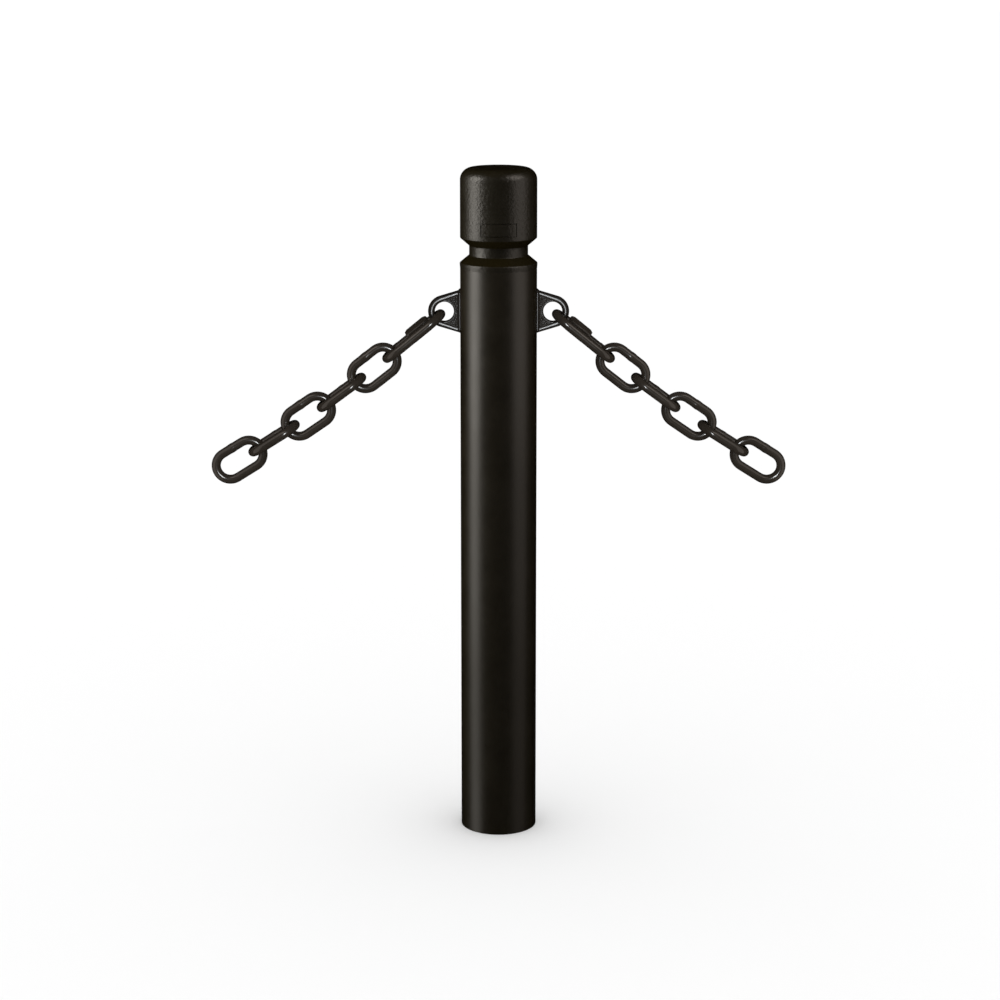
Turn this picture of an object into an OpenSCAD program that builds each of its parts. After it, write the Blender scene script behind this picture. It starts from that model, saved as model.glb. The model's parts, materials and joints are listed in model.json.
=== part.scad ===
// Chain bollard: a steel tube with a cast head, two cast eyes, and a length of
// welded chain hung from each eye by a screwed quick link.
// The origin is the middle of the foot, Z is up, and the chains lie in the XZ plane.

/* [Tube] */
// Outside diameter of the tube
tube_od = 102; // [92:1:140]
// Wall of the tube
tube_wall = 6; // [3:0.5:10]
// Length of the tube, from the ground to the seat of the head
tube_len = 772; // [500:1:1100]

/* [Head] */
// Height of the head above its groove, from its lower edge to the top
head_h = 93.6; // [60:0.2:140]
// Radius of the rounded upper edge
head_edge_r = 16; // [6:0.5:24]
// Radius of the shallow dome on top
dome_r = 400; // [200:10:900]
// Diameter of the groove below the head
neck_d = 78; // [70:0.5:90]
// Height of the groove's straight floor
neck_h = 12.6; // [6:0.2:30]
// Height of the bevel above and below the groove
bevel_h = 10.4; // [5:0.2:16]
// Height of the collar that sits on the tube
collar_h = 7; // [4:0.5:20]
// How far the collar stands proud of the tube all round
collar_proud = 0.5; // [0:0.1:3]
// Wall of the casting
head_wall = 8; // [5:0.5:12]
// Length of the spigot that drops into the tube
spigot_len = 40; // [15:1:80]
// Clearance all round the spigot
spigot_gap = 0.3; // [0.1:0.1:1]
// How much the tube is bored out, all round, to seat the spigot
seat_step = 1; // [0.5:0.1:2]
// Depth of that seat beyond the spigot's end
seat_spare = 2; // [1:0.5:6]

/* [Eyes] */
// Depth of the eye holes' centre below the top of the tube
eye_drop = 58.4; // [40:0.2:150]
// Distance of the hole's centre from the face of the tube
eye_reach = 21.1; // [19:0.1:35]
// Diameter of the hole
eye_hole_d = 25; // [22:0.5:32]
// Thickness of the round bar at the nose
eye_bar_d = 9.2; // [6:0.2:12]
// Thickness of the bar where it meets the tube
eye_end_d = 6.8; // [4:0.2:9]
// Height of the eye along the tube
eye_base_h = 57.5; // [50:0.5:90]
// Thickness of the sunk web
eye_web = 6; // [3:0.5:8]
// Width of the raised lip round the hole
eye_lip = 2.2; // [1:0.1:4]
// Width of the raised strip along the tube
eye_strip = 4.6; // [2:0.2:6]

/* [Quick links] */
// Thickness of the quick link's wire
quick_wire = 12.2; // [8:0.1:14]
// Length inside the quick link
quick_len = 81.5; // [78:0.5:120]
// Width inside the quick link
quick_w = 28; // [22:0.5:32]
// Length of the short threaded end that the closed sleeve grips
quick_grip = 4.3; // [3:0.1:8]
// Depth of the thread below the wire's surface
thread_depth = 0.4; // [0.2:0.1:1]
// Clearance between the thread and the sleeve
thread_gap = 0.3; // [0.1:0.05:0.5]
// Size of the sleeve's hexagon across its flats
sleeve_af = 19; // [17:0.5:24]

/* [Chain] */
// Thickness of the chain's wire
link_wire = 12.3; // [8:0.1:13.5]
// Length inside a link
link_len = 55.6; // [48:0.2:90]
// Width inside a link
link_w = 25.5; // [22:0.5:34]
// Clearance left where one wire bears on the next
bear_gap = 0.3; // [0.1:0.05:0.6]
// Height of the weld's swelling on a link
weld_rise = 0.5; // [0.1:0.1:1.5]
// Length of the weld's swelling along the wire
weld_len = 9; // [5:0.5:16]

/* [Hang of the chain] */
// Angle of the quick link below the level, in degrees
quick_angle = 39.4; // [20:0.1:60]
// Angle of the first link
angle_1 = 38.2; // [20:0.1:60]
// Angle of the second link
angle_2 = 36.5; // [20:0.1:60]
// Angle of the third link
angle_3 = 34.5; // [20:0.1:60]
// Angle of the fourth link
angle_4 = 32.4; // [20:0.1:60]
// Angle of the fifth link
angle_5 = 32.1; // [20:0.1:60]

/* [Hidden] */

// Round forms are exact in the finished part, so this is only for the preview
$fn = 96;

// Overlap of a cut past the face that it goes through
cut = 1;

// Tube and head, worked out from below upwards
tube_r = tube_od / 2;
bore_r = tube_r - tube_wall;
seat_r = bore_r + seat_step;
spigot_r = seat_r - spigot_gap;
spigot_low = tube_len - spigot_len;
collar_r = tube_r + collar_proud;
neck_r = neck_d / 2;
collar_top = tube_len + collar_h;
neck_low = collar_top + bevel_h;
neck_high = neck_low + neck_h;
head_low = neck_high + bevel_h;
head_top = head_low + head_h;

// The rounded edge is tangent to the straight side and to the dome
edge_x = tube_r - head_edge_r;
dome_z = head_top - dome_r;
edge_z = dome_z + sqrt(pow(dome_r - head_edge_r, 2) - pow(edge_x, 2));
dome_angle = asin(edge_x / (dome_r - head_edge_r));
edge_steps = 16;
dome_steps = 8;
weld_steps = 6;

// Small bevel on the edges of the casting
break_edge = 0.8;

// Eye, in its own plane, with the hole's centre at nought and the tube at minus eye_reach
hole_r = eye_hole_d / 2;
nose_r = hole_r + eye_bar_d / 2;
base_z = eye_base_h / 2 - eye_end_d / 2;
base_far = norm([eye_reach, base_z]);
touch_angle = atan2(base_z, -eye_reach) - acos(nose_r / base_far);
bar_len = sqrt(pow(base_far, 2) - pow(nose_r, 2));
// Overlap into the tube, which the tube's own round cuts off again
eye_root = 4;
// The lip is this much thinner than the bar, lies this far behind it in the hole,
// and starts this many degrees inside it
lip_step = 0.8;
lip_back = 0.2;
lip_bury_angle = 5;
lip_r = (eye_bar_d - lip_step) / 2;
lip_far = hole_r + lip_back + eye_lip;

// Where the eyes sit on the tube
eye_x = tube_r + eye_reach;
eye_z = tube_len - eye_drop;

// Wire centres, as distances from one to the next
quick_r = quick_wire / 2;
link_r = link_wire / 2;
quick_step = quick_len + quick_wire;
link_step = link_len + link_wire;
eye_play = hole_r - quick_r - bear_gap;
quick_play = link_w / 2 - quick_r - bear_gap;
link_play = link_w / 2 - link_r - bear_gap;
arc_step = link_len - link_w;

// Depth to which the weld's swelling runs into the wire
weld_root = 1;

// Sleeve and the broken arm of the quick link, from the bend at the eye outwards
arm_len = quick_len - quick_w;
// Room to spare for a link's wire in the open gap
arm_spare = 1.2;
arm_gap = link_wire + arm_spare;
long_stub = arm_len - quick_grip - arm_gap;
thread_r = quick_r - thread_depth;
sleeve_bore_r = thread_r + thread_gap;
sleeve_len = long_stub - thread_gap;
sleeve_bevel = 1.2;
flats_to_corners = 1 / cos(30);
arm_side = quick_w / 2 + quick_r;

// The way down the chain at a slope, on the left side of the post
function down(slope, far) = [-cos(slope) * far, 0, -sin(slope) * far];

// Wire centres where the pieces bear on each other, on the left side
eye_hole = [-eye_x, 0, eye_z];
quick_top = eye_hole + down(quick_angle, eye_play);
quick_end = quick_top + down(quick_angle, quick_step);
arc_1a = quick_end + down(quick_angle, quick_play);
arc_1b = arc_1a + down(angle_1, arc_step);
link_2_top = arc_1b + down(angle_2, link_play);
link_2_end = link_2_top + down(angle_2, link_step);
arc_3a = link_2_end + down(angle_2, link_play);
arc_3b = arc_3a + down(angle_3, arc_step);
link_4_top = arc_3b + down(angle_4, link_play);
link_4_end = link_4_top + down(angle_4, link_step);
arc_5a = link_4_end + down(angle_4, link_play);
arc_5b = arc_5a + down(angle_5, arc_step);

// Points along an arc, from one angle to another
function arc(x, z, r, from, to, steps) = [
    for (i = [0:steps])
        let (a = from + (to - from) * i / steps)
            [x + r * cos(a), z + r * sin(a)]
];

// Bent and straight wire

module bent_wire(bend_r, wire_d, sweep) {
    rotate_extrude(angle = sweep)
        translate([bend_r, 0])
            circle(d = wire_d);
}

module straight_wire(wire_d, far) {
    translate([-far / 2, 0, 0])
        rotate([0, 90, 0])
            cylinder(d = wire_d, h = far);
}

// The two bends of a link that lies in the XY plane, along X
module bends(inside_len, inside_w, wire_d) {
    bend_r = (inside_w + wire_d) / 2;
    half = (inside_len - inside_w) / 2;
    for (side = [1, -1])
        rotate([0, 0, side > 0 ? 0 : 180])
            translate([half, 0, 0])
                rotate([0, 0, -90])
                    bent_wire(bend_r, wire_d, 180);
}

// The swelling where a link's wire was welded shut
module weld() {
    swell_r = (pow(weld_len / 2, 2) + pow(weld_rise, 2)) / (2 * weld_rise);
    half_angle = asin(weld_len / 2 / swell_r);
    rim = link_r - weld_root;
    rotate([0, 90, 0])
        rotate_extrude()
            polygon(concat(
                [[0, -weld_len / 2], [rim, -weld_len / 2]],
                arc(link_r + weld_rise - swell_r, 0, swell_r, -half_angle, half_angle, weld_steps),
                [[rim, weld_len / 2], [0, weld_len / 2]]
            ));
}

module chain_link() {
    side = (link_w + link_wire) / 2;
    bends(link_len, link_w, link_wire);
    for (y = [side, -side])
        translate([0, y, 0])
            straight_wire(link_wire, link_len - link_w);
    translate([0, side, 0])
        weld();
}

// The quick link has one whole arm, and one arm in two threaded ends.
// It lies in the XY plane with its upper bend towards plus X.
module quick_link() {
    bends(quick_len, quick_w, quick_wire);
    translate([0, -arm_side, 0])
        straight_wire(quick_wire, arm_len);
    translate([arm_len / 2 - quick_grip / 2, arm_side, 0])
        straight_wire(2 * thread_r, quick_grip);
    translate([-arm_len / 2 + long_stub / 2, arm_side, 0])
        straight_wire(2 * thread_r, long_stub);
}

module sleeve() {
    corner_r = sleeve_af / 2 * flats_to_corners;
    translate([arm_len / 2 - thread_gap - sleeve_len, arm_side, 0])
        rotate([0, 90, 0])
            difference() {
                intersection() {
                    cylinder(r = corner_r, h = sleeve_len, $fn = 6);
                    rotate_extrude()
                        polygon([
                            [0, 0],
                            [corner_r - sleeve_bevel, 0],
                            [corner_r, sleeve_bevel],
                            [corner_r, sleeve_len - sleeve_bevel],
                            [corner_r - sleeve_bevel, sleeve_len],
                            [0, sleeve_len]
                        ]);
                }
                translate([0, 0, -cut])
                    cylinder(r = sleeve_bore_r, h = sleeve_len + 2 * cut);
            }
}

// Sets a piece that lies along X at a place on the left chain.
// A face-on piece is turned up into the XZ plane, an edge-on one keeps its width along Y.
module hang(from, to, slope, face_on) {
    translate((from + to) / 2)
        rotate([0, -slope, 0])
            rotate([face_on ? 90 : 0, 0, 0])
                children();
}

// Gives the left piece, or its mirror image on the right
module on_side(side) {
    mirror([side == "right" ? 1 : 0, 0, 0])
        children();
}

// Sub-parts

module post_tube() {
    color([0.12, 0.115, 0.1])
        difference() {
            cylinder(r = tube_r, h = tube_len);
            translate([0, 0, -cut])
                cylinder(r = bore_r, h = tube_len + 2 * cut);
            translate([0, 0, spigot_low - seat_spare])
                cylinder(r = seat_r, h = spigot_len + seat_spare + cut);
        }
}

module cap() {
    core_r = min(neck_r, spigot_r) - head_wall;
    head_core_r = tube_r - head_wall;
    core_top = edge_z + head_edge_r - head_wall;
    core_edge = max(head_edge_r - head_wall, break_edge);
    color([0.14, 0.135, 0.12])
        difference() {
            rotate_extrude()
                polygon(concat(
                    [
                        [0, spigot_low],
                        [spigot_r - 2 * break_edge, spigot_low],
                        [spigot_r, spigot_low + 2 * break_edge],
                        [spigot_r, tube_len],
                        [collar_r - break_edge, tube_len],
                        [collar_r, tube_len + break_edge],
                        [collar_r, collar_top - break_edge / 2],
                        [collar_r - break_edge, collar_top + break_edge / 2],
                        [neck_r, neck_low],
                        [neck_r, neck_high],
                        [tube_r - break_edge, head_low - break_edge / 2],
                        [tube_r, head_low + break_edge / 2]
                    ],
                    arc(edge_x, edge_z, head_edge_r, 0, 90 - dome_angle, edge_steps),
                    arc(0, dome_z, dome_r, 90 - dome_angle * (1 - 1 / dome_steps), 90, dome_steps - 1)
                ));
            rotate_extrude()
                polygon([
                    [0, spigot_low - cut],
                    [core_r, spigot_low - cut],
                    [core_r, neck_high],
                    [head_core_r, head_low + bevel_h],
                    [head_core_r, core_top - core_edge],
                    [head_core_r - core_edge, core_top],
                    [0, core_top]
                ]);
        }
}

// The eye's round bar, from the tube round the nose and back
module eye_bar() {
    rotate([0, 0, -touch_angle])
        bent_wire(nose_r, eye_bar_d, 2 * touch_angle);
    for (side = [0, 1])
        mirror([0, side, 0])
            rotate([0, 0, touch_angle])
                translate([nose_r, 0, 0])
                    rotate([-90, 0, 0])
                        cylinder(r1 = eye_bar_d / 2, r2 = eye_end_d / 2, h = bar_len + eye_root);
}

module eye_plate() {
    touch = [nose_r * cos(touch_angle), nose_r * sin(touch_angle)];
    translate([0, 0, -eye_web / 2])
        linear_extrude(eye_web)
            difference() {
                polygon([
                    [touch[0], touch[1]],
                    [-eye_reach - eye_root, base_z],
                    [-eye_reach - eye_root, -base_z],
                    [touch[0], -touch[1]]
                ]);
                circle(r = lip_far - eye_lip / 4);
            }
}

// The lip round the part of the hole that the bar doesn't edge.
// It is round towards the hole, and cut off at the lip's width.
module eye_rim() {
    start_angle = touch_angle - lip_bury_angle;
    rotate([0, 0, start_angle])
        rotate_extrude(angle = 360 - 2 * start_angle)
            intersection() {
                translate([hole_r + lip_back + lip_r, 0])
                    circle(r = lip_r);
                translate([hole_r, -lip_r])
                    square([lip_far - hole_r, 2 * lip_r]);
            }
}

module eye() {
    translate([-eye_x, 0, eye_z])
        rotate([90, 0, 0])
            mirror([1, 0, 0]) {
                eye_bar();
                eye_plate();
                eye_rim();
                translate([-eye_reach, -base_z, 0])
                    rotate([-90, 0, 0])
                        cylinder(r = eye_strip, h = 2 * base_z);
            }
}

module side_eye(side) {
    color([0.16, 0.155, 0.14])
        on_side(side)
            difference() {
                eye();
                cylinder(r = tube_r, h = tube_len);
            }
}

module side_quick_link(side) {
    color([0.18, 0.16, 0.14])
        on_side(side)
            hang(quick_top, quick_end, quick_angle, false)
                quick_link();
}

module side_sleeve(side) {
    color([0.2, 0.18, 0.16])
        on_side(side)
            hang(quick_top, quick_end, quick_angle, false)
                sleeve();
}

module side_link(side, i) {
    ends = [
        [arc_1a, arc_1b, angle_1, true],
        [link_2_top, link_2_end, angle_2, false],
        [arc_3a, arc_3b, angle_3, true],
        [link_4_top, link_4_end, angle_4, false],
        [arc_5a, arc_5b, angle_5, true]
    ][i - 1];
    color([0.2, 0.17, 0.15])
        on_side(side)
            hang(ends[0], ends[1], ends[2], ends[3])
                chain_link();
}

post_tube();
cap();
for (side = ["left", "right"]) {
    side_eye(side);
    side_quick_link(side);
    side_sleeve(side);
    for (i = [1:5])
        side_link(side, i);
}
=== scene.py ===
import json
import math
from typing import NamedTuple

import bmesh
import bpy
from bpy.props import FloatProperty, FloatVectorProperty, IntProperty, PointerProperty
from mathutils import Matrix, Vector

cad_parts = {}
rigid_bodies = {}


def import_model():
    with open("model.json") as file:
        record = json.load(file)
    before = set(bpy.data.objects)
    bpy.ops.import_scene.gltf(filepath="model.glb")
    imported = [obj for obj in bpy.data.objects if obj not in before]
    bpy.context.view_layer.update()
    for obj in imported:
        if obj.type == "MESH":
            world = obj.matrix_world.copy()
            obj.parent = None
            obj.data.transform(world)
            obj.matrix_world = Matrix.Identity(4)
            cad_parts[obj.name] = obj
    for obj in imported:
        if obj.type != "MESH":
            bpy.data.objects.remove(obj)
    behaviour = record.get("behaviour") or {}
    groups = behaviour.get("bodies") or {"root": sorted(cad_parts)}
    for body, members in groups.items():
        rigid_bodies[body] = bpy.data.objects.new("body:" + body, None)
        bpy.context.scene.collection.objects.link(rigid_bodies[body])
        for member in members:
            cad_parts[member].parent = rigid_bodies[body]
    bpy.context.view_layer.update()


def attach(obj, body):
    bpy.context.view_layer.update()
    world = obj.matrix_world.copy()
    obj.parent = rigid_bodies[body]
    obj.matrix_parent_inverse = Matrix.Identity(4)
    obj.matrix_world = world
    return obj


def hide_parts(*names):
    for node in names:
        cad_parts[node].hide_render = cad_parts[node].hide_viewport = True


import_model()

bl_info = {
    "name": "Chain Bollard",
    "version": (1, 0, 0),
    "blender": (4, 5, 0),
    "location": "3D View > Sidebar > Chain Bollard",
    "description": "Makes a steel post with a cast head, two cast eyes and a hung chain on each side",
    "category": "Object",
}

MM = 0.001
SIDES = ("left", "right")
# Two points closer than this, in metres, are one
SAME_POINT = 1e-6


# Sizes


def millimetres(name, description, default):
    """A length that is given in millimetres and held in metres."""
    return FloatProperty(name=name, description=description, default=default * MM, unit="LENGTH", precision=5)


def metres(name, description, default):
    """A length of the studio."""
    return FloatProperty(name=name, description=description, default=default, unit="LENGTH")


def degrees(name, description, default):
    """An angle that is given in degrees and held in radians."""
    return FloatProperty(name=name, description=description, default=math.radians(default), subtype="ANGLE")


def colour(name, description, default):
    """A linear colour."""
    return FloatVectorProperty(
        name=name, description=description, default=default, subtype="COLOR", size=3, min=0, max=1,
    )


class PostSizes(bpy.types.PropertyGroup):
    """Sizes of the steel tube"""

    diameter: millimetres("Diameter", "Outside diameter of the tube", 102)
    wall: millimetres("Wall", "Wall of the tube", 6)
    length: millimetres("Length", "Length of the tube from the ground to the head", 772)
    foot_round: millimetres("Foot edge", "Radius of the filed edge at the foot", 0.6)
    seat_step: millimetres("Seat", "How much the tube is bored out, all round, for the spigot", 1)
    seat_depth: millimetres("Seat depth", "Depth to which the tube is bored out", 42)


class HeadSizes(bpy.types.PropertyGroup):
    """Sizes of the cast head"""

    height: millimetres("Height", "Height of the head above its groove", 93.6)
    edge_radius: millimetres("Upper edge", "Radius of the rounded upper edge", 16)
    crown: millimetres("Crown", "Rise of the shallow dome on top", 1.6)
    neck_diameter: millimetres("Groove diameter", "Diameter at the floor of the groove", 78)
    neck_height: millimetres("Groove floor", "Height of the groove's straight floor", 12.6)
    bevel_height: millimetres("Groove sides", "Height of each sloping side of the groove", 10.4)
    collar_height: millimetres("Collar", "Height of the collar on the tube", 7)
    collar_proud: millimetres("Collar step", "How far the collar stands proud of the tube", 0.5)
    wall: millimetres("Wall", "Wall of the casting", 8)
    spigot_length: millimetres("Spigot", "Length of the spigot in the tube", 40)
    spigot_gap: millimetres("Spigot clearance", "Clearance all round the spigot", 0.3)
    plate_width: millimetres("Plate width", "Width of the bare framed plate, round the head", 51)
    plate_height: millimetres("Plate height", "Height of the bare framed plate", 18.5)
    plate_rise: millimetres("Plate place", "Height of the plate's lower edge above the head's lower edge", 5.6)
    groove_depth: millimetres("Frame depth", "Depth of the line round the plate", 0.9)


class EyeSizes(bpy.types.PropertyGroup):
    """Sizes of the cast eyes"""

    reach: millimetres("Reach", "Distance of the hole's centre from the tube", 21.1)
    drop: millimetres("Drop", "Depth of the hole's centre below the top of the tube", 58.4)
    hole: millimetres("Hole", "Diameter of the hole", 25)
    height: millimetres("Height", "Height of the eye along the tube", 57.5)
    web: millimetres("Web", "Thickness of the sunk web", 6)
    grain: millimetres("Pebbles", "Radius of the cast pebbles in the corners of the web", 1.15)
    voxel: millimetres("Blend", "Fineness to which the casting is blended into one skin", 0.42)
    softness: IntProperty(
        name="Softness", description="How often the skin is smoothed, as the coat softens it",
        default=1, min=0, max=20,
    )


class QuickLinkSizes(bpy.types.PropertyGroup):
    """Sizes of the quick links and their sleeves"""

    wire: millimetres("Wire", "Thickness of the wire", 12.2)
    length: millimetres("Length", "Length inside the quick link", 81.5)
    width: millimetres("Width", "Width inside the quick link", 28)
    grip: millimetres("Grip", "Length of the short threaded end", 4.3)
    gap: millimetres("Gap", "Width of the gap that the sleeve closes", 13.5)
    thread_depth: millimetres("Thread step", "How far the coated thread lies below the wire's surface", 0.25)
    thread_pitch: millimetres("Pitch", "Pitch of the thread", 1.75)
    thread_height: millimetres("Thread height", "Height of the thread's ridge, as far as the coat leaves it open", 0.22)
    bore: millimetres("Bore", "Diameter of the sleeve's bore", 12)
    clearance: millimetres("Clearance", "Clearance at the end of the sleeve", 0.3)
    flats: millimetres("Flats", "Width across the sleeve's flats", 19)
    chamfer: millimetres("Chamfer", "Depth of the cone on the ends of the sleeve", 1.9)
    slope: degrees("Slope", "Slope below the level", 39.4)


class ChainSizes(bpy.types.PropertyGroup):
    """Sizes and hang of the chain"""

    wire: millimetres("Wire", "Thickness of the wire", 12.3)
    length: millimetres("Length", "Length inside a link", 55.6)
    width: millimetres("Width", "Width inside a link", 25.5)
    bear_gap: millimetres("Play", "Clearance where one wire bears on the next", 0.3)
    weld_rise: millimetres("Weld rise", "Height of the weld's swelling", 0.35)
    weld_length: millimetres("Weld length", "Length of the weld's swelling", 9)
    slopes: FloatVectorProperty(
        name="Slopes", description="Slope of each link below the level, from the quick link outwards",
        default=[math.radians(a) for a in (38.2, 36.5, 34.5, 32.4, 32.1)], subtype="NONE", size=5,
    )


class Finishes(bpy.types.PropertyGroup):
    """Colours of the coats"""

    tube: colour("Tube", "Colour of the tube's powder coat", (0.0064, 0.0044, 0.0010))
    cast: colour("Castings", "Colour of the coat on the head", (0.0062, 0.0046, 0.0014))
    eye: colour("Eyes", "Colour of the coat on the eyes", (0.0080, 0.0064, 0.0049))
    chain: colour("Chain", "Colour of the coat on the chain", (0.0150, 0.0120, 0.0092))


class Studio(bpy.types.PropertyGroup):
    """Camera and floor"""

    lens: FloatProperty(name="Lens", description="Focal length in millimetres", default=89.64)
    distance: metres("Distance", "Level distance of the camera from the post", 3.270)
    height: metres("Height", "Height of the camera", 1.231)
    pitch: degrees("Pitch", "Angle at which the camera looks down", 10.58)
    shift_x: FloatProperty(name="Shift across", description="Sideways shift of the picture", default=0.0014)
    shift_y: FloatProperty(name="Shift up", description="Upward shift of the picture", default=-0.1198)
    floor_size: metres("Floor", "Width of the floor", 60.0)


class HeadLevels(NamedTuple):
    """Heights on the cast head, from below upwards"""

    collar_top: float
    neck_low: float
    neck_high: float
    low: float
    top: float


def levels_of_head(scene):
    """The heights at which the head's collar, groove and cap begin and end."""
    post, head = scene.bollard_post, scene.bollard_head
    collar_top = post.length + head.collar_height
    neck_low = collar_top + head.bevel_height
    neck_high = neck_low + head.neck_height
    low = neck_high + head.bevel_height
    return HeadLevels(collar_top, neck_low, neck_high, low, low + head.height)


# Finishes


class Coat(NamedTuple):
    """A coat: its material, the record's slot, its roughness and how far that varies, and the
    (size, height) in metres of its fine and its coarse unevenness"""

    material: str
    slot: str
    roughness: float
    spread: float
    fine: tuple
    coarse: tuple


COATS = {
    "tube": Coat("satin powder coat", "tube_paint", 0.365, 0.03, (1.1 * MM, 0.05 * MM), (9 * MM, 0.10 * MM)),
    "cast": Coat("coated casting", "cast_paint", 0.345, 0.05, (1.3 * MM, 0.10 * MM), (3.6 * MM, 0.60 * MM)),
    "eye": Coat("coated eye", "cast_paint", 0.29, 0.05, (1.3 * MM, 0.02 * MM), (4 * MM, 0.08 * MM)),
    "chain": Coat("coated chain", "chain_paint", 0.20, 0.04, (1.6 * MM, 0.02 * MM), (7 * MM, 0.07 * MM)),
}
# Level at which the shader reflects as its index of refraction says
FULL_GLOSS = 0.5


def node_of(tree, kind, **values):
    """Adds a shader node and sets its properties and inputs by name."""
    node = tree.nodes.new(kind)
    for key, value in values.items():
        if key in node.bl_rna.properties:
            setattr(node, key, value)
        else:
            node.inputs[key.replace("_", " ").title()].default_value = value
    return node


def coated(coat, tint):
    """A coated metal whose colour, gloss and relief vary together."""
    mat = bpy.data.materials.new(coat.material)
    mat.use_nodes = True
    tree = mat.node_tree
    link = tree.links.new
    shader = tree.nodes["Principled BSDF"]
    shader.inputs["Metallic"].default_value = 0.0
    shader.inputs["IOR"].default_value = 1.5
    place = tree.nodes.new("ShaderNodeTexCoord")

    fine = node_of(tree, "ShaderNodeTexNoise", Scale=1 / coat.fine[0], Detail=2.0, Roughness=0.5)
    coarse = node_of(tree, "ShaderNodeTexNoise", Scale=1 / coat.coarse[0], Detail=3.0, Roughness=0.55)
    cloud = node_of(tree, "ShaderNodeTexNoise", Scale=22.0, Detail=4.0, Roughness=0.6)
    for texture in (fine, coarse, cloud):
        link(place.outputs["Object"], texture.inputs["Vector"])

    # About one third of the coarse unevenness, and the rest of wide clouds
    clouds = node_of(tree, "ShaderNodeMath", operation="MULTIPLY")
    clouds.inputs[1].default_value = 0.65
    mixed = node_of(tree, "ShaderNodeMath", operation="MULTIPLY_ADD")
    mixed.inputs[1].default_value = 0.35
    link(cloud.outputs["Fac"], clouds.inputs[0])
    link(coarse.outputs["Fac"], mixed.inputs[0])
    link(clouds.outputs[0], mixed.inputs[2])

    # Colour: a little darker and lighter than the coat's own
    least, most = 0.3, 0.7
    tone = tree.nodes.new("ShaderNodeValToRGB")
    for stop, spot, shade in zip(tone.color_ramp.elements, (least, most), (0.78, 1.22)):
        stop.position = spot
        stop.color = (*[part * shade for part in tint], 1)
    link(mixed.outputs[0], tone.inputs["Fac"])
    link(tone.outputs["Color"], shader.inputs["Base Color"])

    # Gloss
    gloss = node_of(
        tree, "ShaderNodeMapRange", From_Min=least, From_Max=most,
        To_Min=coat.roughness - coat.spread, To_Max=coat.roughness + coat.spread,
    )
    link(mixed.outputs[0], gloss.inputs["Value"])
    link(gloss.outputs["Result"], shader.inputs["Roughness"])

    # Relief: the fine on top of the coarse
    below = node_of(tree, "ShaderNodeBump", Strength=1.0, Distance=coat.coarse[1])
    above = node_of(tree, "ShaderNodeBump", Strength=1.0, Distance=coat.fine[1])
    link(coarse.outputs["Fac"], below.inputs["Height"])
    link(fine.outputs["Fac"], above.inputs["Height"])
    link(below.outputs["Normal"], above.inputs["Normal"])
    link(above.outputs["Normal"], shader.inputs["Normal"])
    return mat


def position_along(tree, axis):
    """The output that gives a point's position along one of the object's axes."""
    place = tree.nodes.new("ShaderNodeTexCoord")
    parts = tree.nodes.new("ShaderNodeSeparateXYZ")
    tree.links.new(place.outputs["Object"], parts.inputs["Vector"])
    return parts.outputs[axis]


def paint_shade_in_hollows(mat, scene):
    """Paints shade into the sunk web of a flat casting by taking the gloss off it, but not off its pebbles and its bar.
    """
    tree = mat.node_tree
    half_web = scene.bollard_eye.web / 2
    depth = node_of(tree, "ShaderNodeMath", operation="ABSOLUTE")
    # Painted shade: the gloss fades out below the web's face, so the sunk web shows darker than the pebbles and the
    # bar.
    fade = node_of(
        tree, "ShaderNodeMapRange", From_Min=half_web + 0.10 * MM, From_Max=half_web + 0.30 * MM,
        To_Min=0.04, To_Max=FULL_GLOSS,
    )
    tree.links.new(position_along(tree, "Y"), depth.inputs[0])
    tree.links.new(depth.outputs[0], fade.inputs["Value"])
    tree.links.new(fade.outputs["Result"], tree.nodes["Principled BSDF"].inputs["Specular IOR Level"])


def paint_shade_on_slopes(mat, scene):
    """Paints shade on the sloping sides of the head's groove by taking their gloss off, and some on the top of the cap.
    """
    at = levels_of_head(scene)
    # Painted shade: these levels darken the groove's slopes and the top of the cap, where the coat itself is the same.
    shade_gloss, half_shade_gloss = 0.03, 0.3
    stops = (
        (at.collar_top + 0.2 * MM, FULL_GLOSS), (at.collar_top + 1.0 * MM, shade_gloss),
        (at.neck_low - 0.6 * MM, shade_gloss), (at.neck_low + 0.2 * MM, FULL_GLOSS),
        (at.neck_high - 0.2 * MM, FULL_GLOSS), (at.neck_high + 0.6 * MM, shade_gloss),
        (at.low - 0.2 * MM, shade_gloss), (at.low + 0.8 * MM, FULL_GLOSS),
        (at.top - 11.5 * MM, FULL_GLOSS), (at.top - 8 * MM, half_shade_gloss),
    )
    tree = mat.node_tree
    first, last = stops[0][0], stops[-1][0]
    along = node_of(tree, "ShaderNodeMapRange", From_Min=first, From_Max=last)
    ramp = tree.nodes.new("ShaderNodeValToRGB")
    elements = ramp.color_ramp.elements
    for height, _ in stops[1:-1]:
        elements.new((height - first) / (last - first))
    for stop, (_, level) in zip(elements, stops):
        stop.color = (level, level, level, 1)
    tree.links.new(position_along(tree, "Z"), along.inputs["Value"])
    tree.links.new(along.outputs["Result"], ramp.inputs["Fac"])
    tree.links.new(ramp.outputs["Color"], tree.nodes["Principled BSDF"].inputs["Specular IOR Level"])


def finish_of(key):
    """The material for one kind of piece, made when it is first asked for."""
    coat = COATS[key]
    if coat.material in bpy.data.materials:
        return bpy.data.materials[coat.material]
    scene = bpy.context.scene
    mat = coated(coat, getattr(scene.bollard_finishes, key))
    # The head gets painted shade on its groove's slopes, and the eyes get it in their sunk webs.
    if key == "cast":
        paint_shade_on_slopes(mat, scene)
    if key == "eye":
        paint_shade_in_hollows(mat, scene)
    return mat


# Shaping


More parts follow.
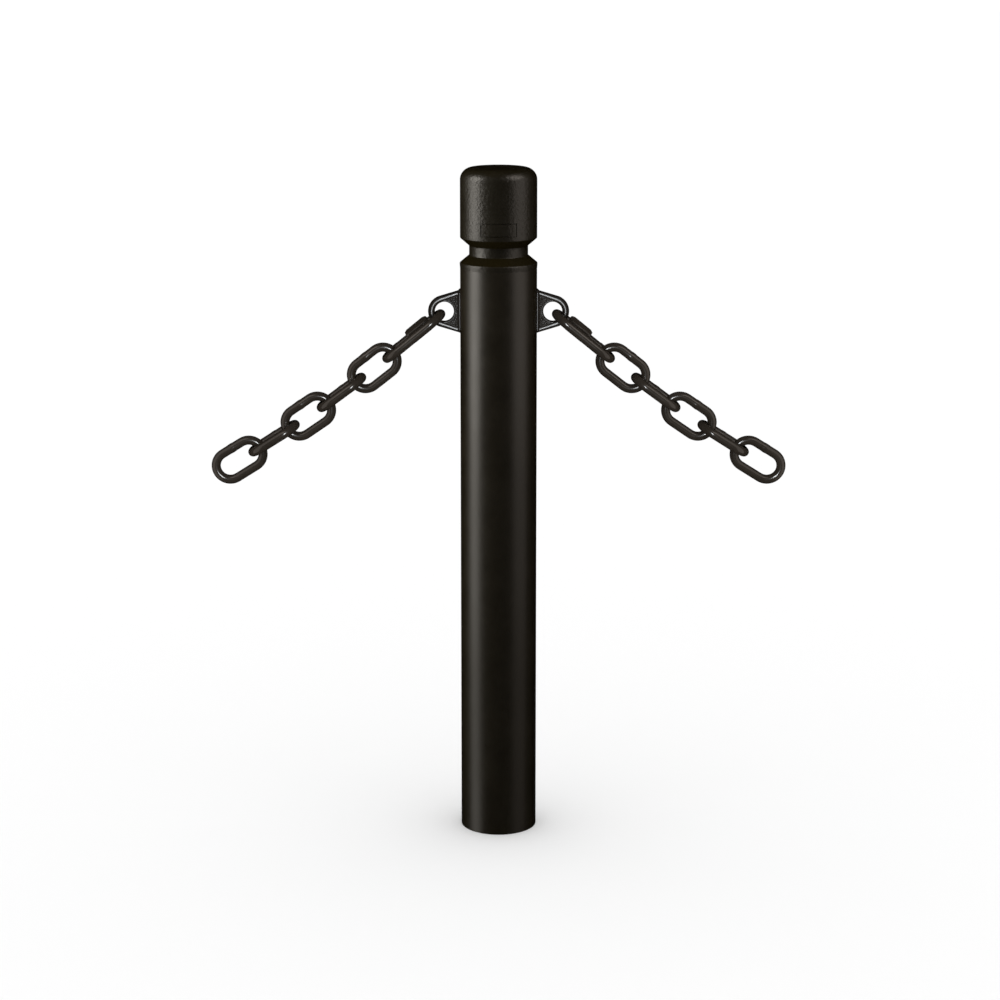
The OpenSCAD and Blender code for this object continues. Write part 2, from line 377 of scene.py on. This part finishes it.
def add_piece(name, bm, key, body, node, smooth_angle=35):
    """Turns a bmesh into a finished piece that rides on a body and stands for a CAD node."""
    mesh = bpy.data.meshes.new(name)
    bm.to_mesh(mesh)
    bm.free()
    mesh.shade_smooth()
    mesh.set_sharp_from_angle(angle=math.radians(smooth_angle))
    mesh.materials.append(finish_of(key))
    piece = bpy.data.objects.new(name, mesh)
    bpy.context.scene.collection.objects.link(piece)
    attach(piece, body)
    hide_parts(node)


def edges_in(geometry):
    """The edges in what a bmesh operator gives back."""
    return [part for part in geometry if isinstance(part, bmesh.types.BMEdge)]


def join_and_face_out(bm):
    """Joins the points that lie on each other and turns all faces outwards."""
    bmesh.ops.remove_doubles(bm, verts=bm.verts[:], dist=SAME_POINT)
    bmesh.ops.recalc_face_normals(bm, faces=bm.faces[:])


def round_corner(bm, corner, radius, segments):
    """Rounds one corner of a flat outline by a true radius."""
    a, b = [(edge.other_vert(corner).co - corner.co).normalized() for edge in corner.link_edges]
    turn = math.pi - a.angle(b)
    bmesh.ops.bevel(
        bm, geom=[corner], offset=radius * math.tan(turn / 2), offset_type="OFFSET", segments=segments,
        profile=0.5, affect="VERTICES", material=-1, clamp_overlap=False,
    )


def outline(bm, corners):
    """A flat outline in the XZ plane, from corners of (distance from the axis, height, rounding, segments)."""
    verts = [bm.verts.new((x, 0, z)) for x, z, _, _ in corners]
    bm.faces.new(verts)
    for vert, (_, _, radius, segments) in zip(verts, corners):
        if radius:
            round_corner(bm, vert, radius, segments)


def lathe(bm, steps):
    """Spins the outline round the Z axis and closes the skin."""
    edges = bm.edges[:]
    verts = bm.verts[:]
    bmesh.ops.delete(bm, geom=bm.faces[:], context="FACES_ONLY")
    bmesh.ops.spin(
        bm, geom=verts + edges, cent=(0, 0, 0), axis=(0, 0, 1), dvec=(0, 0, 0),
        angle=math.tau, steps=steps, use_merge=True, use_duplicate=False,
    )
    join_and_face_out(bm)


# Steps round a wire, and along each half turn of one
WIRE_SEGMENTS = 28
BEND_STEPS = 24


def wire_circle(bm, centre, diameter):
    """A circle of wire that faces along X."""
    made = bmesh.ops.create_circle(
        bm, cap_ends=False, radius=diameter / 2, segments=WIRE_SEGMENTS,
        matrix=Matrix.Translation(centre) @ Matrix.Rotation(math.pi / 2, 4, "Y"),
    )
    return list({edge for vert in made["verts"] for edge in vert.link_edges})


def carry(bm, ring, step, scale=1.0):
    """Extrudes a ring of edges by a step along X, and scales the new ring about its own centre."""
    made = bmesh.ops.extrude_edge_only(bm, edges=ring)["geom"]
    verts = [part for part in made if isinstance(part, bmesh.types.BMVert)]
    bmesh.ops.translate(bm, verts=verts, vec=(step, 0, 0))
    if scale != 1.0:
        centre = sum((vert.co for vert in verts), Vector()) / len(verts)
        bmesh.ops.scale(bm, verts=verts, vec=(scale,) * 3, space=Matrix.Translation(-centre))
    return [edge for edge in edges_in(made) if all(vert in verts for vert in edge.verts)]


def bend(bm, ring, centre_x, angle):
    """Bends the wire on from a ring, about an upright axis through a point on the X axis."""
    verts = list({vert for edge in ring for vert in edge.verts})
    made = bmesh.ops.spin(
        bm, geom=verts + ring, cent=(centre_x, 0, 0), axis=(0, 0, 1), dvec=(0, 0, 0),
        angle=angle, steps=BEND_STEPS, use_merge=False, use_duplicate=False,
    )
    return edges_in(made["geom_last"])


def close_ring(bm, ring):
    """Closes the open end of a wire."""
    bmesh.ops.edgeloop_fill(bm, edges=ring)


def set_in_place(bm, side, centre, slope, face_on):
    """Moves a piece that lies along X to its place on the chain. The right side is turned, not mirrored,
    so threads keep their hand."""
    quarter = math.pi / 2 if face_on else 0
    if side == "left":
        turn = Matrix.Rotation(-slope, 4, "Y") @ Matrix.Rotation(quarter, 4, "X")
    else:
        turn = Matrix.Rotation(slope - math.pi, 4, "Y") @ Matrix.Rotation(-quarter, 4, "X")
        centre = Vector((-centre.x, centre.y, centre.z))
    bmesh.ops.transform(bm, matrix=Matrix.Translation(centre) @ turn, verts=bm.verts[:])


def down(slope, far):
    """The way down the left chain at a slope."""
    return Vector((-math.cos(slope) * far, 0, -math.sin(slope) * far))


def hang_of_chain(scene):
    """Middle, slope and facing of the quick link and then of each link, on the left side."""
    post, eye, quick, chain = scene.bollard_post, scene.bollard_eye, scene.bollard_quick, scene.bollard_chain
    hole = Vector((-post.diameter / 2 - eye.reach, 0, post.length - eye.drop))
    top = hole + down(quick.slope, eye.hole / 2 - quick.wire / 2 - chain.bear_gap)
    end = top + down(quick.slope, quick.length + quick.wire)
    places = [((top + end) / 2, quick.slope, False)]
    play = chain.width / 2 - quick.wire / 2 - chain.bear_gap
    before = quick.slope
    for i, slope in enumerate(chain.slopes):
        face_on = i % 2 == 0
        if face_on:
            top = end + down(before, play)
            end = top + down(slope, chain.length - chain.width)
        else:
            top = end + down(slope, play)
            end = top + down(slope, chain.length + chain.wire)
        places.append(((top + end) / 2, slope, face_on))
        play = chain.width / 2 - chain.wire / 2 - chain.bear_gap
        before = slope
    return places


class QuickLinkShape(NamedTuple):
    """Lengths that follow from the quick link's sizes"""

    half: float  # from its middle to where an arm ends and a bend begins
    arm: float  # from its middle to the centre of an arm's wire
    core: float  # radius of the wire below the thread
    long_end: float  # length of the long threaded end


def shape_of_quick_link(quick):
    """The shape that the quick link's wire, threads and sleeve share."""
    half = (quick.length - quick.width) / 2
    arm = (quick.width + quick.wire) / 2
    core = quick.wire / 2 - quick.thread_depth - quick.thread_height
    return QuickLinkShape(half, arm, core, 2 * half - quick.grip - quick.gap)


# Pieces


class BOLLARD_OT_tube(bpy.types.Operator):
    """Makes the steel tube"""

    bl_idname = "bollard.tube"
    bl_label = "Steel tube"

    def execute(self, context):
        post = context.scene.bollard_post
        outer, top, edge = post.diameter / 2, post.length, post.foot_round
        inner = post.diameter / 2 - post.wall
        seat, ledge = inner + post.seat_step, top - post.seat_depth
        bm = bmesh.new()
        outline(bm, [
            (outer, 0, edge, 4),
            (outer, top, edge / 6, 2),
            (seat, top, edge, 3),
            (seat, ledge, 0, 0),
            (inner, ledge, 0, 0),
            (inner, 0, edge, 3),
        ])
        lathe(bm, 160)
        add_piece("steel_tube", bm, "tube", "post", "post_tube")
        return {"FINISHED"}


class BOLLARD_OT_head(bpy.types.Operator):
    """Makes the cast head with its groove, collar and bare framed plate"""

    bl_idname = "bollard.head"
    bl_label = "Cast head"

    def execute(self, context):
        post, head = context.scene.bollard_post, context.scene.bollard_head
        at = levels_of_head(context.scene)
        side = post.diameter / 2
        neck = head.neck_diameter / 2
        collar = side + head.collar_proud
        seat = post.length
        spigot = side - post.wall + post.seat_step - head.spigot_gap
        foot = seat - head.spigot_length
        core = min(neck, spigot) - head.wall
        core_top = at.top - head.crown - head.wall
        plate_low = at.low + head.plate_rise
        plate_high = plate_low + head.plate_height

        bm = bmesh.new()
        outline(bm, [
            # Hollow core, from the axis down to the foot
            (0, core_top, 0, 0),
            (side - head.wall, core_top, 8 * MM, 5),
            (side - head.wall, at.low + head.bevel_height, 0, 0),
            (core, at.neck_high, 0, 0),
            (core, foot, 0.8 * MM, 2),
            # Spigot, collar and groove
            (spigot, foot, 1.5 * MM, 3),
            (spigot, seat, 0, 0),
            (side + 0.05 * MM, seat, 0, 0),
            (collar, at.collar_top - 2.5 * MM, 4 * MM, 4),
            (collar, at.collar_top, 1.7 * MM, 6),
            (neck, at.neck_low, 1.6 * MM, 4),
            (neck, at.neck_high, 1.6 * MM, 4),
            # Cap
            (side, at.low, 1.8 * MM, 5),
            (side, plate_low, 0, 0),
            (side, plate_high, 0, 0),
            (side, at.top - head.crown, head.edge_radius, 14),
            (side * 0.45, at.top - head.crown * 0.18, 30 * MM, 6),
            (0, at.top, 0, 0),
        ])
        lathe(bm, 180)
        self.frame_plate(bm, side, plate_low, plate_high, head)
        add_piece("cast_head", bm, "cast", "post", "cap", smooth_angle=38)
        return {"FINISHED"}

    def frame_plate(self, bm, side, low, high, head):
        """Sinks a thin line round a bare plate on the front."""
        half = head.plate_width / 2 / side
        faces = []
        for face in bm.faces:
            middle = face.calc_center_median()
            across = math.atan2(middle.x, -middle.y)
            if low < middle.z < high and abs(across) < half and middle.y < 0:
                faces.append(face)
        if not faces:
            raise RuntimeError("no room for the plate on the head")
        # Down the line's outer side, across its floor, and up to a plate that stays a little sunk
        wall, floor = 0.30 * MM, 1.0 * MM
        for thickness, depth in ((wall, -head.groove_depth), (floor, 0.0), (wall, head.groove_depth * 0.7)):
            bmesh.ops.inset_region(
                bm, faces=faces, thickness=thickness, depth=depth, use_boundary=True, use_even_offset=True,
                use_interpolate=True, use_relative_offset=False, use_edge_rail=False, use_outset=False,
            )


class BOLLARD_OT_eyes(bpy.types.Operator):
    """Makes the two cast eyes, blended into one skin with pebbled corners"""

    bl_idname = "bollard.eyes"
    bl_label = "Cast eyes"

    def execute(self, context):
        post, eye = context.scene.bollard_post, context.scene.bollard_eye
        for side, sign in zip(SIDES, (-1, 1)):
            hole = Vector((sign * (post.diameter / 2 + eye.reach), 0, post.length - eye.drop))
            bm = bmesh.new()
            bm.from_mesh(bpy.data.objects[f"{side}_eye"].data)
            bmesh.ops.remove_doubles(bm, verts=bm.verts[:], dist=SAME_POINT)
            self.add_fillets(bm, sign, post, eye, hole)
            self.add_pebbles(bm, sign, post, eye, hole)
            self.blend(bm, eye)
            add_piece(f"{side}_eye_casting", bm, "eye", "post", f"{side}_eye", smooth_angle=180)
        return {"FINISHED"}

    def add_fillets(self, bm, sign, post, eye, hole):
        """Weld metal above and below the eye's root, with more of it above."""
        inset, sunk = 1.2 * MM, 0.6 * MM
        for up in (-1, 1):
            spot = (sign * (post.diameter / 2 - sunk), 0, hole.z + up * (eye.height / 2 - inset))
            bmesh.ops.create_icosphere(
                bm, subdivisions=3, radius=(2.6 + 0.6 * up) * MM, matrix=Matrix.Translation(spot),
            )

    def add_pebbles(self, bm, sign, post, eye, hole):
        """Small cast pebbles in the corners between the hole's lip, the bar and the strip on the tube."""
        pitch = eye.grain * 2.3
        face_x = post.diameter / 2
        strip = 5.2 * MM
        lip = eye.hole / 2 + 2.4 * MM
        flat = Matrix.Diagonal((1, 0.7, 1, 1))
        columns, rows = 12, int(eye.height / pitch) + 1
        for i in range(columns):
            for j in range(rows):
                # Every second row is set over by half a pitch
                out = strip + i * pitch + (j % 2) * pitch / 2
                rise = (j - rows / 2) * pitch
                x = face_x + out
                from_hole = math.hypot(x - abs(hole.x), rise)
                on_lip = from_hole < lip + eye.grain
                on_bar = abs(rise) > self.bar_edge(out, eye) - eye.grain
                if on_lip or on_bar or out > eye.reach:
                    continue
                size = eye.grain * (1 + 0.20 * math.sin(i * 2.1 + j * 3.7))
                for face in (-1, 1):
                    spot = Vector((sign * x, face * eye.web / 2, hole.z + rise))
                    bmesh.ops.create_icosphere(
                        bm, subdivisions=2, radius=size, matrix=Matrix.Translation(spot) @ flat,
                    )

    def bar_edge(self, out, eye):
        """Half height of the sunk web at a distance from the tube, inside the round bar."""
        root = eye.height / 2 - 6.8 * MM
        nose = eye.hole / 2 + 0.2 * MM
        return root + (nose - root) * min(1.0, out / (eye.reach + 5 * MM))

    def blend(self, bm, eye):
        """Blends the solids into one skin and softens its edges."""
        mesh = bpy.data.meshes.new("blend")
        bm.to_mesh(mesh)
        work = bpy.data.objects.new("blend", mesh)
        bpy.context.scene.collection.objects.link(work)
        skin = work.modifiers.new("skin", "REMESH")
        skin.mode = "VOXEL"
        skin.voxel_size = eye.voxel
        bpy.context.view_layer.update()
        made = work.evaluated_get(bpy.context.evaluated_depsgraph_get()).to_mesh()
        bm.clear()
        bm.from_mesh(made)
        bpy.data.objects.remove(work)
        bpy.data.meshes.remove(mesh)
        if not bm.verts:
            raise RuntimeError("the eye has no skin")
        for _ in range(eye.softness):
            bmesh.ops.smooth_vert(
                bm, verts=bm.verts[:], factor=0.5, use_axis_x=True, use_axis_y=True, use_axis_z=True,
            )


class BOLLARD_OT_quick_links(bpy.types.Operator):
    """Makes the two quick links with their threaded ends"""

    bl_idname = "bollard.quick_links"
    bl_label = "Quick links"

    def execute(self, context):
        quick = context.scene.bollard_quick
        shape = shape_of_quick_link(quick)
        centre, slope, face_on = hang_of_chain(context.scene)[0]
        for side in SIDES:
            bm = bmesh.new()
            self.bent_wire(bm, quick, shape)
            self.threads(bm, quick, shape)
            bmesh.ops.recalc_face_normals(bm, faces=bm.faces[:])
            set_in_place(bm, side, centre, slope, face_on)
            add_piece(f"{side}_quick_link_wire", bm, "chain", f"{side}_quick", f"{side}_quick_link")
        return {"FINISHED"}

    def bent_wire(self, bm, quick, shape):
        """One wire from the short threaded end round both bends to the long threaded end."""
        half, arm, core, long_end = shape
        bevel, rounding = 0.5 * MM, 0.4 * MM
        plain = bevel + rounding
        shoulder, narrowed = quick.wire / 2 / core, 0.94
        ring = wire_circle(bm, (half - quick.grip, arm, 0), 2 * (core - bevel))
        close_ring(bm, ring)
        ring = carry(bm, ring, bevel, core / (core - bevel))
        ring = carry(bm, ring, quick.grip - plain)
        ring = carry(bm, ring, 0, shoulder * narrowed)
        ring = carry(bm, ring, rounding, 1 / narrowed)
        ring = bend(bm, ring, half, -math.pi)
        for _ in range(6):
            ring = carry(bm, ring, -half / 3)
        ring = bend(bm, ring, -half, -math.pi)
        ring = carry(bm, ring, rounding, narrowed)
        ring = carry(bm, ring, 0, 1 / shoulder / narrowed)
        ring = carry(bm, ring, long_end - plain)
        ring = carry(bm, ring, bevel, (core - bevel) / core)
        close_ring(bm, ring)

    def threads(self, bm, quick, shape):
        """A ridge that winds round each threaded end."""
        half, arm, core, long_end = shape
        steps = 20
        reach, foot = quick.thread_pitch * 0.42, core - 0.1 * MM
        profile = ((0, foot), (reach, core + quick.thread_height), (2 * reach, foot))
        short = (half - quick.grip + 0.4 * MM, quick.grip - 2.6 * MM)
        long = (-half + 1.2 * MM, long_end - 3.4 * MM)
        for start, far in (short, long):
            turns = max(1, int(far / quick.thread_pitch))
            ridge = [bm.verts.new((start + along, arm + high, 0)) for along, high in profile]
            edges = [bm.edges.new((ridge[i], ridge[(i + 1) % 3])) for i in range(3)]
            wound = bmesh.ops.spin(
                bm, geom=ridge + edges, cent=(0, arm, 0), axis=(1, 0, 0),
                dvec=(quick.thread_pitch / steps, 0, 0), angle=math.tau * turns, steps=steps * turns,
                use_merge=False, use_duplicate=False,
            )
            close_ring(bm, edges)
            close_ring(bm, edges_in(wound["geom_last"]))


class BOLLARD_OT_sleeves(bpy.types.Operator):
    """Makes the two hexagonal sleeves"""

    bl_idname = "bollard.sleeves"
    bl_label = "Threaded sleeves"

    def execute(self, context):
        quick = context.scene.bollard_quick
        half, arm, _, long_end = shape_of_quick_link(quick)
        length = long_end - quick.clearance
        centre, slope, face_on = hang_of_chain(context.scene)[0]
        for side in SIDES:
            bm = bmesh.new()
            self.turned_blank(bm, quick, length)
            self.cut_flats(bm, quick, length)
            bmesh.ops.rotate(bm, verts=bm.verts[:], cent=(0, 0, 0), matrix=Matrix.Rotation(math.pi / 2, 3, "Y"))
            bmesh.ops.translate(bm, verts=bm.verts[:], vec=(half - quick.clearance - length, arm, 0))
            set_in_place(bm, side, centre, slope, face_on)
            add_piece(
                f"{side}_sleeve_nut", bm, "chain", f"{side}_quick_sleeve", f"{side}_sleeve", smooth_angle=28,
            )
        return {"FINISHED"}

    def turned_blank(self, bm, quick, length):
        """A round blank as wide as the sleeve's corners, with a cone at each end."""
        bore, lead = quick.bore / 2, 0.6 * MM
        corner = quick.flats / 2 / math.cos(math.pi / 6)
        end = corner - quick.chamfer
        slant = quick.chamfer * 2.4
        outline(bm, [
            (bore + lead, 0, 0, 0),
            (end, 0, 0.5 * MM, 3),
            (corner, slant, 0, 0),
            (corner, length - slant, 0, 0),
            (end, length, 0.5 * MM, 3),
            (bore + lead, length, 0, 0),
            (bore, length - lead, 0, 0),
            (bore, lead, 0, 0),
        ])
        lathe(bm, 96)

    def cut_flats(self, bm, quick, length):
        """Cuts six flats and breaks the edges between them."""
        for i in range(6):
            angle = (i + 0.5) * math.pi / 3
            way = Vector((math.cos(angle), math.sin(angle), 0))
            cut = bmesh.ops.bisect_plane(
                bm, geom=bm.verts[:] + bm.edges[:] + bm.faces[:], dist=1e-7,
                plane_co=way * quick.flats / 2, plane_no=way, clear_outer=True,
            )["geom_cut"]
            bmesh.ops.edgeloop_fill(bm, edges=edges_in(cut))
        bmesh.ops.recalc_face_normals(bm, faces=bm.faces[:])
        sharp = [
            edge for edge in bm.edges
            if edge.calc_face_angle(0) > math.radians(25) and edge.calc_length() > length / 2
        ]
        bmesh.ops.bevel(
            bm, geom=sharp, offset=0.7 * MM, offset_type="OFFSET", segments=3, profile=0.5,
            affect="EDGES", material=-1, clamp_overlap=True,
        )


class BOLLARD_OT_chains(bpy.types.Operator):
    """Makes the welded links of both chains"""

    bl_idname = "bollard.chains"
    bl_label = "Chain links"

    def execute(self, context):
        chain = context.scene.bollard_chain
        places = hang_of_chain(context.scene)[1:]
        for side in SIDES:
            for i, (centre, slope, face_on) in enumerate(places, 1):
                bm = bmesh.new()
                self.link_ring(bm, chain)
                set_in_place(bm, side, centre, slope, face_on)
                add_piece(f"{side}_chain_link_{i}", bm, "chain", f"{side}_chain_{i}", f"{side}_link_{i}")
        return {"FINISHED"}

    def link_ring(self, bm, chain):
        """One closed wire, with the swelling of its weld on one side."""
        half = (chain.length - chain.width) / 2
        arm = (chain.width + chain.wire) / 2
        radius = chain.wire / 2
        before = half - chain.weld_length / 2
        swelling = (0.0, 0.45, 0.85, 1.0, 1.0, 0.85, 0.45, 0.0)
        ring = wire_circle(bm, (half, -arm, 0), chain.wire)
        ring = bend(bm, ring, half, math.pi)
        ring = carry(bm, ring, -before)
        for last, rise in zip(swelling, swelling[1:]):
            scale = (radius + rise * chain.weld_rise) / (radius + last * chain.weld_rise)
            ring = carry(bm, ring, -chain.weld_length / (len(swelling) - 1), scale)
        ring = carry(bm, ring, -before)
        ring = bend(bm, ring, -half, math.pi)
        for _ in range(4):
            ring = carry(bm, ring, half / 2)
        join_and_face_out(bm)


# Stage

# Colours of the lamps
WARM = (1.0, 0.955, 0.88)
WARMER = (1.0, 0.90, 0.82)
COOL = (0.95, 0.98, 1.0)
# The post's tall softboxes, from above downwards: name, lower and upper edge, brightness left and right
TIERS = (
    ("high", 0.55, 1.45, 4.7, 1.02),
    ("middle", 0.05, 0.55, 2.6, 0.48),
    ("low", -0.90, 0.05, 1.4, 0.25),
)


class BOLLARD_OT_stage(bpy.types.Operator):
    """Makes the floor, the light and the camera"""

    bl_idname = "bollard.stage"
    bl_label = "Stage"

    def execute(self, context):
        studio = context.scene.bollard_studio
        self.floor(context, studio)
        self.sky(context)
        self.post_lamps(context)
        for side, sign in zip(SIDES, (-1, 1)):
            self.chain_lamps(context, side, sign)
        self.camera(context, studio)
        return {"FINISHED"}

    def floor(self, context, studio):
        """A plain pale floor. It is left out of reflections, as the plain ground of the photograph is."""
        bm = bmesh.new()
        bmesh.ops.create_grid(bm, x_segments=1, y_segments=1, size=studio.floor_size / 2)
        mesh = bpy.data.meshes.new("floor")
        bm.to_mesh(mesh)
        bm.free()
        mat = bpy.data.materials.new("pale floor")
        mat.use_nodes = True
        shader = mat.node_tree.nodes["Principled BSDF"]
        shader.inputs["Base Color"].default_value = (0.9, 0.9, 0.9, 1)
        shader.inputs["Roughness"].default_value = 1.0
        shader.inputs["Specular IOR Level"].default_value = 0.0
        mesh.materials.append(mat)
        floor = bpy.data.objects.new("floor", mesh)
        context.scene.collection.objects.link(floor)
        floor.visible_glossy = False
        floor.visible_shadow = False

    def sky(self, context):
        """An even white surround that lights the scene and stays out of reflections."""
        world = bpy.data.worlds.new("studio")
        context.scene.world = world
        world.use_nodes = True
        back = world.node_tree.nodes["Background"]
        back.inputs["Color"].default_value = (1, 1, 1, 1)
        back.inputs["Strength"].default_value = 1.12
        world.cycles_visibility.glossy = False

    def softbox(self, context, name, place, size, brightness, tint, group):
        """An upright softbox of (width, height) that faces the post and lights one group of pieces.
        Brightness is that of its cloth."""
        lamp = bpy.data.lights.new(name, "AREA")
        lamp.shape = "RECTANGLE"
        lamp.size, lamp.size_y = size
        lamp.energy = brightness * math.pi * size[0] * size[1]
        lamp.color = tint
        box = bpy.data.objects.new(name, lamp)
        box.location = place
        box.rotation_euler = Vector((-place[0], -place[1], 0)).to_track_quat("-Z", "Y").to_euler()
        box.visible_camera = False
        box.light_linking.receiver_collection = group
        context.scene.collection.objects.link(box)

    def post_lamps(self, context):
        """Tall softboxes on both sides, brighter towards the top, for the tube and the head."""
        group = self.group(context, "post pieces", ("steel_tube", "cast_head"))
        for tier, low, high, left, right in TIERS:
            middle, tall = (low + high) / 2, high - low
            self.softbox(
                context, f"left_{tier}_softbox", (-0.871, -0.225, middle), (0.50, tall), left, WARM, group,
            )
            self.softbox(
                context, f"right_{tier}_softbox", (0.913, -0.407, middle), (0.80, tall), right, WARMER, group,
            )
        self.softbox(context, "left_top_softbox", (-0.871, -0.225, 1.38), (0.40, 0.34), 11.5, WARM, group)
        self.softbox(context, "right_top_softbox", (0.662, -0.352, 1.62), (0.66, 0.50), 5.2, WARMER, group)

    def chain_lamps(self, context, side, sign):
        """The same soft light on each chain, and narrow lamps beside the camera for the glints on it and
        on its eye."""
        eye = self.group(context, f"{side} eye", (f"{side}_eye_casting",))
        starts = tuple(f"{side}_{kind}" for kind in ("quick", "sleeve", "chain"))
        chain = self.group(context, f"{side} chain pieces", starts)
        for name, place, size, brightness, tint, group in (
            ("chain_softbox", (sign * 0.913, -0.407, 0.55), (0.80, 1.80), 0.80, WARMER, chain),
            ("chain_top_softbox", (sign * 0.60, -0.64, 1.25), (0.50, 0.45), 1.8, WARMER, chain),
            ("glint_lamp", (-sign * 0.25, -3.2, 0.95), (0.16, 0.90), 150.0, COOL, chain),
            ("eye_lamp", (-sign * 0.15, -3.2, 0.45), (0.30, 2.30), 56.0, COOL, eye),
        ):
            self.softbox(context, f"{side}_{name}", place, size, brightness, tint, group)

    def group(self, context, name, starts):
        """The finished pieces whose names start in one of these ways, for a lamp that lights them alone."""
        made = bpy.data.collections.new(name)
        replaced = {f"{side}_{kind}" for side in SIDES for kind in ("quick_link", "sleeve")}
        for piece in context.scene.objects:
            if piece.name.startswith(starts) and piece.name not in replaced:
                made.objects.link(piece)
        return made

    def camera(self, context, studio):
        """The camera at the photograph's angle."""
        data = bpy.data.cameras.new("camera")
        data.lens = studio.lens
        data.sensor_width = 36
        data.shift_x, data.shift_y = studio.shift_x, studio.shift_y
        data.clip_start, data.clip_end = 0.05, 200
        camera = bpy.data.objects.new("camera", data)
        camera.location = (0, -studio.distance, studio.height)
        camera.rotation_euler = (math.pi / 2 - studio.pitch, 0, 0)
        context.scene.collection.objects.link(camera)
        context.scene.camera = camera
        context.scene.view_settings.view_transform = "Standard"


class BOLLARD_PT_panel(bpy.types.Panel):
    """Lists the pieces of the bollard"""

    bl_label = "Chain Bollard"
    bl_idname = "BOLLARD_PT_panel"
    bl_space_type = "VIEW_3D"
    bl_region_type = "UI"
    bl_category = "Chain Bollard"

    def draw(self, context):
        for step in STEPS:
            self.layout.operator(step.bl_idname)


STEPS = (
    BOLLARD_OT_tube,
    BOLLARD_OT_head,
    BOLLARD_OT_eyes,
    BOLLARD_OT_quick_links,
    BOLLARD_OT_sleeves,
    BOLLARD_OT_chains,
    BOLLARD_OT_stage,
)
GROUPS = {
    "bollard_post": PostSizes,
    "bollard_head": HeadSizes,
    "bollard_eye": EyeSizes,
    "bollard_quick": QuickLinkSizes,
    "bollard_chain": ChainSizes,
    "bollard_finishes": Finishes,
    "bollard_studio": Studio,
}


def register():
    for cls in (*GROUPS.values(), *STEPS, BOLLARD_PT_panel):
        bpy.utils.register_class(cls)
    for name, group in GROUPS.items():
        setattr(bpy.types.Scene, name, PointerProperty(type=group))


def unregister():
    for name in GROUPS:
        delattr(bpy.types.Scene, name)
    for cls in (BOLLARD_PT_panel, *reversed(STEPS), *reversed(GROUPS.values())):
        bpy.utils.unregister_class(cls)


def main():
    register()
    bpy.ops.bollard.tube()
    bpy.ops.bollard.head()
    bpy.ops.bollard.eyes()
    bpy.ops.bollard.quick_links()
    bpy.ops.bollard.sleeves()
    bpy.ops.bollard.chains()
    bpy.ops.bollard.stage()


if __name__ == "__main__":
    main()
